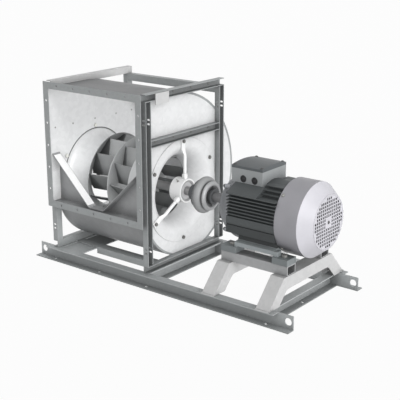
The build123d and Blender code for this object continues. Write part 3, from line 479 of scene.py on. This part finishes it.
def makePlateNuts(side, sign):
    mesh = bmesh.new()
    for y, z in plateNuts["places"]:
        place = (sign * (sidePlate["middle"] - sidePlate["half"]), y, z)
        panHead(mesh, place, along(-sign), plateNuts["radius"], plateNuts["height"])
    makePiece("plate_nuts_" + side, mesh, "zincBolt", "base_and_casing")


# Screw heads in the channels of the side frame, seated on it from outside; those on the posts have washers
frameScrews = dict(postY=dict(front=-248, rear=248), postHeights=[140, 290, 440, 560, 700],
                   beamHeights=dict(bottom=76, middle=619, top=815), beamY=[-180, -60, 60, 180],
                   outside=320, radius=5, height=3.5, washerRadius=7, washerHeight=1)


def makeFrameScrews(side, sign):
    outside, radius, height = frameScrews["outside"], frameScrews["radius"], frameScrews["height"]
    lift = frameScrews["washerHeight"]
    mesh = bmesh.new()
    for post, y in frameScrews["postY"].items():
        for z in frameScrews["postHeights"]:
            place = seat("frame_post_" + post + "_" + side, (sign * outside, y, z), along(-sign))
            washer(mesh, place, along(sign), frameScrews["washerRadius"], lift)
            panHead(mesh, place + along(sign) * lift, along(sign), radius, height)
    for beam, z in frameScrews["beamHeights"].items():
        for y in frameScrews["beamY"]:
            place = seat("frame_beam_" + beam + "_" + side, (sign * outside, y, z), along(-sign))
            panHead(mesh, place, along(sign), radius, height)
    makePiece("frame_screws_" + side, mesh, "zincBolt", "base_and_casing")


# Foam seal between the plate's opening and the cone, seen as a thin dark circle from inside
coneSeal = dict(inner=203.5, outer=207.5, proud=1.0, edge=0.6, bevel=1, sides=128)


def makeConeSeal(side, sign):
    inner, outer, proud = coneSeal["inner"], coneSeal["outer"], coneSeal["proud"]
    outline = [(inner, 0), (outer, 0), (outer, coneSeal["edge"]), (outer - coneSeal["bevel"], proud),
               (inner, proud)]
    place = (sign * (sidePlate["middle"] - sidePlate["half"]), 0, shaftHeight)
    mesh = bmesh.new()
    turned(mesh, outline, place, along(-sign), coneSeal["sides"], True)
    makePiece("cone_seal_" + side, mesh, "rubber", "base_and_casing")


# Folded seam that joins the side plate to the wrap, from the outlet's foot round the back to its top.
# Its section: how deep each point lies from the plate's edge, and how far it stands off the plate.
wrapSeam = dict(start=205, end=448, step=3, reach=600,
                section=[(0.3, -0.2), (0.3, 1.8), (3, 1.8), (3.6, 1.1), (9, 1.1), (9.6, -0.2)])


def makeWrapSeam(side, sign):
    mesh = bmesh.new()
    stations = []
    for angle in range(wrapSeam["start"], wrapSeam["end"], wrapSeam["step"]):
        start = onCircle(sign * sidePlate["middle"], angle, wrapSeam["reach"])
        way = -outFrom(angle)
        edge = seat("side_plate_" + side, start, way)
        stations.append([edge + way * depth + along(sign * (rise + sidePlate["half"]))
                         for depth, rise in wrapSeam["section"]])
    swept(mesh, stations)
    makePiece("wrap_seam_" + side, mesh, "frameZinc", "base_and_casing")


# Strips on the two arms of the V-shaped cut-off, laid on it from above; their near-white colour is a painted
# highlight where the lip catches the light
cutoffStrip = dict(front=-274, back=-234, outer=250, inner=50, stations=14, thick=1.68, bevel=2, sunk=0.4,
                   probeY=-255, probeZ=640)


def makeCutoffStrip(side, sign):
    front, back, bevel = cutoffStrip["front"], cutoffStrip["back"], cutoffStrip["bevel"]
    thick, sunk = cutoffStrip["thick"], cutoffStrip["sunk"]
    section = [(front, -sunk), (front, thick * 0.5), (front + bevel, thick), (back - bevel, thick),
               (back, thick * 0.5), (back, -sunk)]
    steps = cutoffStrip["stations"] - 1
    mesh = bmesh.new()
    stations = []
    for i in range(steps + 1):
        x = sign * (cutoffStrip["outer"] + (cutoffStrip["inner"] - cutoffStrip["outer"]) * i / steps)
        rest = seat("cutoff_tongue", (x, cutoffStrip["probeY"], cutoffStrip["probeZ"]), (0, 0, -1))
        stations.append([(x, y, rest.z + rise) for y, rise in section])
    swept(mesh, stations)
    makePiece("cutoff_strip_" + side, mesh, "paintedHighlightStrip", "base_and_casing")


onBothSides(makePlateNuts, makeFrameScrews)
onBothSides(makeConeSeal)
onBothSides(makeWrapSeam)
onBothSides(makeCutoffStrip)
print("casing details made")

# Lock nuts on the spider's rods, with the end of the thread standing out of each
spiderNuts = dict(
    arms=[90, 210, 330], x=276, start=60, radius=13, height=15, threadSides=20,
    thread=[(0, 0), (8.6, 0), (8.6, 1.5), (7.8, 2.2), (8.6, 3), (8.6, 4), (7.8, 4.8), (8.6, 5.6), (0, 6.5)])


def makeSpiderNuts(side, sign):
    mesh = bmesh.new()
    for arm in spiderNuts["arms"]:
        way = outFrom(arm)
        place = onCircle(sign * spiderNuts["x"], arm, spiderNuts["start"])
        end = place + way * spiderNuts["height"]
        hexHead(mesh, place, way, spiderNuts["radius"], spiderNuts["height"])
        turned(mesh, spiderNuts["thread"], end, way, spiderNuts["threadSides"])
    makePiece("spider_nuts_" + side, mesh, "spiderPaint", "base_and_casing")


# Grease nipple on each hub: a small hexagon, then the nipple's waist and ball
greaseNipple = dict(
    angle=125, x=262, start=53.6, radius=5, height=4, sides=16,
    outline=[(0, 0), (2.4, 0), (2.4, 4), (1.7, 5), (1.7, 6), (2.9, 7.2), (2.6, 9), (1.2, 9.8), (0, 9.8)])


def makeGreaseNipple(side, sign):
    way = outFrom(greaseNipple["angle"])
    place = onCircle(sign * greaseNipple["x"], greaseNipple["angle"], greaseNipple["start"])
    end = place + way * greaseNipple["height"]
    mesh = bmesh.new()
    hexHead(mesh, place, way, greaseNipple["radius"], greaseNipple["height"])
    turned(mesh, greaseNipple["outline"], end, way, greaseNipple["sides"])
    makePiece("grease_nipple_" + side, mesh, "zincBolt", "base_and_casing")


onBothSides(makeSpiderNuts, makeGreaseNipple)
print("bearing details made")

# Bolted flange rings where the wheel's centre disc meets its hub
hubFlange = dict(face=2.4, bore=44.5, radius=74, thick=5, bevel=1.5, weld=4, sides=64,
                 bolts=8, boltCircle=61, boltRadius=7.5, boltHeight=5.5)


def makeHubFlange(side, sign):
    face, radius, thick, bore = hubFlange["face"], hubFlange["radius"], hubFlange["thick"], hubFlange["bore"]
    bevel, weld, bolts = hubFlange["bevel"], hubFlange["weld"], hubFlange["bolts"]
    outline = [(bore, 0), (radius, 0), (radius, thick - bevel), (radius - bevel, thick),
               (bore + weld, thick), (bore, thick + weld)]
    mesh = bmesh.new()
    turned(mesh, outline, (sign * face, 0, shaftHeight), along(sign), hubFlange["sides"], True)
    for i in range(bolts):
        place = onCircle(sign * (face + thick), i * 360 / bolts, hubFlange["boltCircle"])
        hexHead(mesh, place, along(sign), hubFlange["boltRadius"], hubFlange["boltHeight"])
    makePiece("wheel_hub_flange_" + side, mesh, "wheelSteel", "fan_rotor")


# Coupling: a rounded rubber tyre. Half its outline runs from the bore to the crown, and the rest mirrors it.
tyreCover = dict(start=368, width=40, sides=96,
                 half=[(46, 0), (65, 0), (69, 1.2), (73.5, 4.5), (77.5, 10), (79.5, 15), (80, 20)])


def makeTyreCover():
    half = tyreCover["half"]
    outline = half + [(radius, tyreCover["width"] - x) for radius, x in reversed(half[:-1])]
    mesh = bmesh.new()
    turned(mesh, outline, (tyreCover["start"], 0, shaftHeight), along(1), tyreCover["sides"], True)
    piece = makePiece("tyre_cover", mesh, "tyreRubber", "fan_rotor", True)
    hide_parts("coupling_tyre")


# Ring with a rounded rim that clamps the tyre on the motor's side
taperRing = dict(start=407, sides=72,
                 outline=[(35, 0), (50, 0), (51, 4), (57, 5), (61.5, 6.5), (64, 10), (64, 13), (62.5, 17),
                          (58.5, 20.5), (53, 22.5), (48, 22), (45.5, 20), (45, 18), (35, 18)])


def makeTaperRing():
    place = (taperRing["start"], 0, shaftHeight)
    mesh = bmesh.new()
    turned(mesh, taperRing["outline"], place, along(1), taperRing["sides"], True)
    makePiece("taper_ring", mesh, "clampIron", "motor_rotor", True)


# Bolts on the coupling's two outer faces
flangeBolts = {
    "fan_rotor": dict(face=356, sign=-1, circle=49, radius=6.5, height=5, count=8, turn=22),
    "motor_rotor": dict(face=425, sign=1, circle=40.2, radius=3.4, height=3.6, count=6, turn=22),
}


def makeFlangeBolts(body):
    row = flangeBolts[body]
    mesh = bmesh.new()
    for i in range(row["count"]):
        place = onCircle(row["face"], i * 360 / row["count"] + row["turn"], row["circle"])
        hexHead(mesh, place, along(row["sign"]), row["radius"], row["height"])
    makePiece("flange_bolts_" + body, mesh, "couplingIron", body)


onBothSides(makeHubFlange)
makeTyreCover()
makeTaperRing()
makeFlangeBolts("fan_rotor")
makeFlangeBolts("motor_rotor")
print("rotor details made")

# Motor: bosses at the four corners of the drive end shield
motorCorners = [45, 135, 225, 315]
shieldBosses = dict(x=594, circle=131, outline=[(0, 0), (10.5, 0), (10, 26), (8.8, 28), (0, 28)], sides=28)


def makeShieldBosses():
    mesh = bmesh.new()
    for corner in motorCorners:
        place = onCircle(shieldBosses["x"], corner, shieldBosses["circle"])
        turned(mesh, shieldBosses["outline"], place, along(-1), shieldBosses["sides"])
    makePiece("shield_bosses", mesh, "shieldPaint", "base_and_casing")


# A bolt and washer on the end of each boss
shieldBolts = dict(x=566, radius=8, height=6, washerRadius=9, washerHeight=1.6)


def makeShieldBolts():
    x, lift, circle = shieldBolts["x"], shieldBolts["washerHeight"], shieldBosses["circle"]
    mesh = bmesh.new()
    for corner in motorCorners:
        washer(mesh, onCircle(x, corner, circle), along(-1), shieldBolts["washerRadius"], lift)
        place = onCircle(x - lift, corner, circle)
        hexHead(mesh, place, along(-1), shieldBolts["radius"], shieldBolts["height"])
    makePiece("shield_bolts", mesh, "couplingIron", "base_and_casing")


# Screws that hold the cowl, seated on it from outside; the washer sinks a little into its curve
cowlScrews = dict(x=856, reach=220, radius=6, height=3.5, lift=0.7,
                  washerRadius=8, washerHeight=1.2, sunk=0.4)


def makeCowlScrews():
    washerRadius, washerHeight = cowlScrews["washerRadius"], cowlScrews["washerHeight"]
    mesh = bmesh.new()
    for corner in motorCorners:
        way = outFrom(corner)
        place = seat("motor_cowl", onCircle(cowlScrews["x"], corner, cowlScrews["reach"]), -way)
        washer(mesh, place - way * cowlScrews["sunk"], way, washerRadius, washerHeight)
        panHead(mesh, place + way * cowlScrews["lift"], way, cowlScrews["radius"], cowlScrews["height"])
    makePiece("cowl_screws", mesh, "zincBolt", "base_and_casing")


# Screws at the corners of the terminal box's lid, each on a low round pad
lidScrews = dict(x=(601, 730), y=(-74, 74), above=640, radius=5, height=3, lift=1.1,
                 pad=[(0, -3), (8.5, -3), (8, 0.6), (7, 1.2), (0, 1.2)], padSides=24)


def makeLidScrews():
    up = Vector((0, 0, 1))
    mesh = bmesh.new()
    for x in lidScrews["x"]:
        for y in lidScrews["y"]:
            place = seat("terminal_box_lid", (x, y, lidScrews["above"]), (0, 0, -1))
            turned(mesh, lidScrews["pad"], place, up, lidScrews["padSides"])
            panHead(mesh, place + up * lidScrews["lift"], up, lidScrews["radius"], lidScrews["height"])
    makePiece("lid_screws", mesh, "darkScrew", "base_and_casing")


# Hexagons on the two closed cable entries
entryHexagons = dict(x=(648, 703), y=-160, z=505, radius=9.5, height=4.2)


def makeEntryHexagons():
    mesh = bmesh.new()
    for x in entryHexagons["x"]:
        place = seat("terminal_entry_plugs", (x, entryHexagons["y"], entryHexagons["z"]), (0, 1, 0))
        hexHead(mesh, place, (0, -1, 0), entryHexagons["radius"], entryHexagons["height"])
    makePiece("entry_hexagons", mesh, "moulding", "base_and_casing")


# Rolled rim round the grille; its section is measured from the rim's own circle
grilleFace = 999.4
grilleRim = dict(radius=111, sides=96,
                 section=[(-3, 0), (-2.4, 1.4), (-0.8, 2.4), (0.8, 2.4), (2.4, 1.4), (3, 0)])


def makeGrilleRim():
    outline = [(grilleRim["radius"] + r, h) for r, h in grilleRim["section"]]
    mesh = bmesh.new()
    turned(mesh, outline, (grilleFace, 0, shaftHeight), along(1), grilleRim["sides"], True)
    makePiece("grille_rim", mesh, "cowlPaint", "base_and_casing", True)


# The screw in the middle of the grille
grilleScrew = dict(radius=7, height=3)


def makeGrilleScrew():
    mesh = bmesh.new()
    panHead(mesh, (grilleFace, 0, shaftHeight), along(1), grilleScrew["radius"], grilleScrew["height"])
    makePiece("grille_screw", mesh, "darkScrew", "base_and_casing")


makeShieldBosses()
makeShieldBolts()
makeCowlScrews()
makeLidScrews()
makeEntryHexagons()
makeGrilleRim()
makeGrilleScrew()
print("motor details made")

# Soft suns: azimuth and elevation they shine from, strength, softness in degrees.
# evenSun casts no shadow, so it carries the key light into the casing, as in a catalogue picture;
# it leaves out the blades, which keep their own shading.
# backSun fills the far side and gives no glare on the top sheets.
# wheelSun reaches only the wheel, and only the wheel shades it.
suns = {
    "keySun": dict(azimuth=70, elevation=34, strength=0.5, soft=14, shadow=True),
    "evenSun": dict(azimuth=67, elevation=16, strength=2.5, soft=8, shadow=False, leavesOut="blades"),
    "frontSun": dict(azimuth=5, elevation=40, strength=0.25, soft=40, shadow=True),
    "backSun": dict(azimuth=232, elevation=10, strength=1.5, soft=30, shadow=True, glare=False),
    "wheelSun": dict(azimuth=-25, elevation=35, strength=1.6, soft=6, shadow=True, reaches="wheel"),
}
wheelNodes = [n for n in nodes if n.startswith("impeller")]
lightGroups = {"wheel": wheelNodes, "blades": [n for n in wheelNodes if "blades" in n]}
studio = dict(soft=(0.21, 0.213, 0.215), floorHalf=30, floorColor=(0.55, 0.55, 0.55), floorRough=0.9,
              floorWhite=0.96)


def gather(name, state):
    # a group for light linking; its members are let in or kept out
    group = bpy.data.collections.new(name)
    for member in lightGroups[name]:
        group.objects.link(nodes[member])
    for row in group.collection_objects:
        row.light_linking.link_state = state
    return group


def lightStudio():
    for name, sun in suns.items():
        data = bpy.data.lights.new(name, "SUN")
        data.energy = sun["strength"]
        data.angle = radians(sun["soft"])
        data.use_shadow = sun["shadow"]
        item = bpy.data.objects.new(name, data)
        item.visible_glossy = sun.get("glare", True)
        item.rotation_euler = wayTo(sun["azimuth"], sun["elevation"]).to_track_quat("Z", "Y").to_euler()
        bpy.context.scene.collection.objects.link(item)
        if "reaches" in sun:
            group = gather(sun["reaches"], "INCLUDE")
            item.light_linking.receiver_collection = group
            item.light_linking.blocker_collection = group
        if "leavesOut" in sun:
            item.light_linking.receiver_collection = gather(sun["leavesOut"], "EXCLUDE")


def seenDirectly(tree):
    # 1 for what the camera, a shiny surface or glass shows
    path = tree.nodes.new("ShaderNodeLightPath")
    value = path.outputs["Is Camera Ray"]
    for other in ("Is Glossy Ray", "Is Transmission Ray"):
        value = reckon(tree, "MAXIMUM", value, path.outputs[other])
    return value


def blendShaders(tree, share, first, second, out):
    mix = tree.nodes.new("ShaderNodeMixShader")
    tree.links.new(share, mix.inputs["Fac"])
    tree.links.new(first, mix.inputs[1])
    tree.links.new(second, mix.inputs[2])
    tree.links.new(mix.outputs[0], out.inputs["Surface"])


def paintWorld():
    # soft light on the fan, white behind it
    world = bpy.data.worlds.new("studio")
    world.use_nodes = True
    tree = world.node_tree
    tree.nodes.clear()
    out = tree.nodes.new("ShaderNodeOutputWorld")
    soft = tree.nodes.new("ShaderNodeBackground")
    white = tree.nodes.new("ShaderNodeBackground")
    soft.inputs["Color"].default_value = (*studio["soft"], 1)
    white.inputs["Color"].default_value = (1, 1, 1, 1)
    blendShaders(tree, seenDirectly(tree), soft.outputs[0], white.outputs[0], out)
    bpy.context.scene.world = world


def layFloor():
    # pale floor; mostly white to the camera, with the fan's soft shadow left on it
    mesh = bpy.data.meshes.new("floor")
    half = studio["floorHalf"]
    corners = [(-half, -half, 0), (half, -half, 0), (half, half, 0), (-half, half, 0)]
    mesh.from_pydata(corners, [], [(0, 1, 2, 3)])
    floor = bpy.data.objects.new("floor", mesh)
    bpy.context.scene.collection.objects.link(floor)
    mat, tree, shader, out = newMaterial("paleFloor")
    shader.inputs["Base Color"].default_value = (*studio["floorColor"], 1)
    shader.inputs["Roughness"].default_value = studio["floorRough"]
    glow = tree.nodes.new("ShaderNodeEmission")
    share = reckon(tree, "MULTIPLY", seenDirectly(tree), studio["floorWhite"])
    blendShaders(tree, share, shader.outputs["BSDF"], glow.outputs[0], out)
    mesh.materials.append(mat)


lightStudio()
paintWorld()
layFloor()
bpy.context.scene.view_settings.view_transform = "Standard"
print("studio ready")
